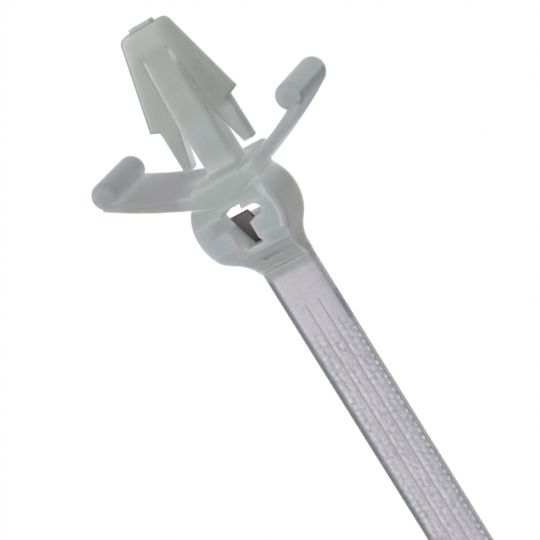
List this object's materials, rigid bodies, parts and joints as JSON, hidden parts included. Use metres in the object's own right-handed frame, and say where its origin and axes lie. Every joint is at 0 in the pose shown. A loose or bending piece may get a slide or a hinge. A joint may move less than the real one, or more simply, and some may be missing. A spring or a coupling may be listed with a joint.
{
  "type": "push-mount cable tie",
  "caption": "Nylon cable tie with a steel locking barb in its head, bow wings and a slotted arrow stud that pushes into a panel hole.",
  "frame": {"origin": "on the stud axis, in the face of the seat between the wings", "axes": "+X along the strap toward its tail, away from the stud's tip; +Y across the strap, toward one wing; +Z out of the front face of the head, on the side where the strap's tail comes out"},
  "size_m": [0.15, 0.0208, 0.0084],
  "materials": {
    "tie_body": "natural nylon, slightly translucent, satin on the strap",
    "locking_barb": "stainless steel strip"
  },
  "bodies": {
    "root": {"tie_body": "tie_body", "locking_barb": "locking_barb"}
  },
  "joints": []
}
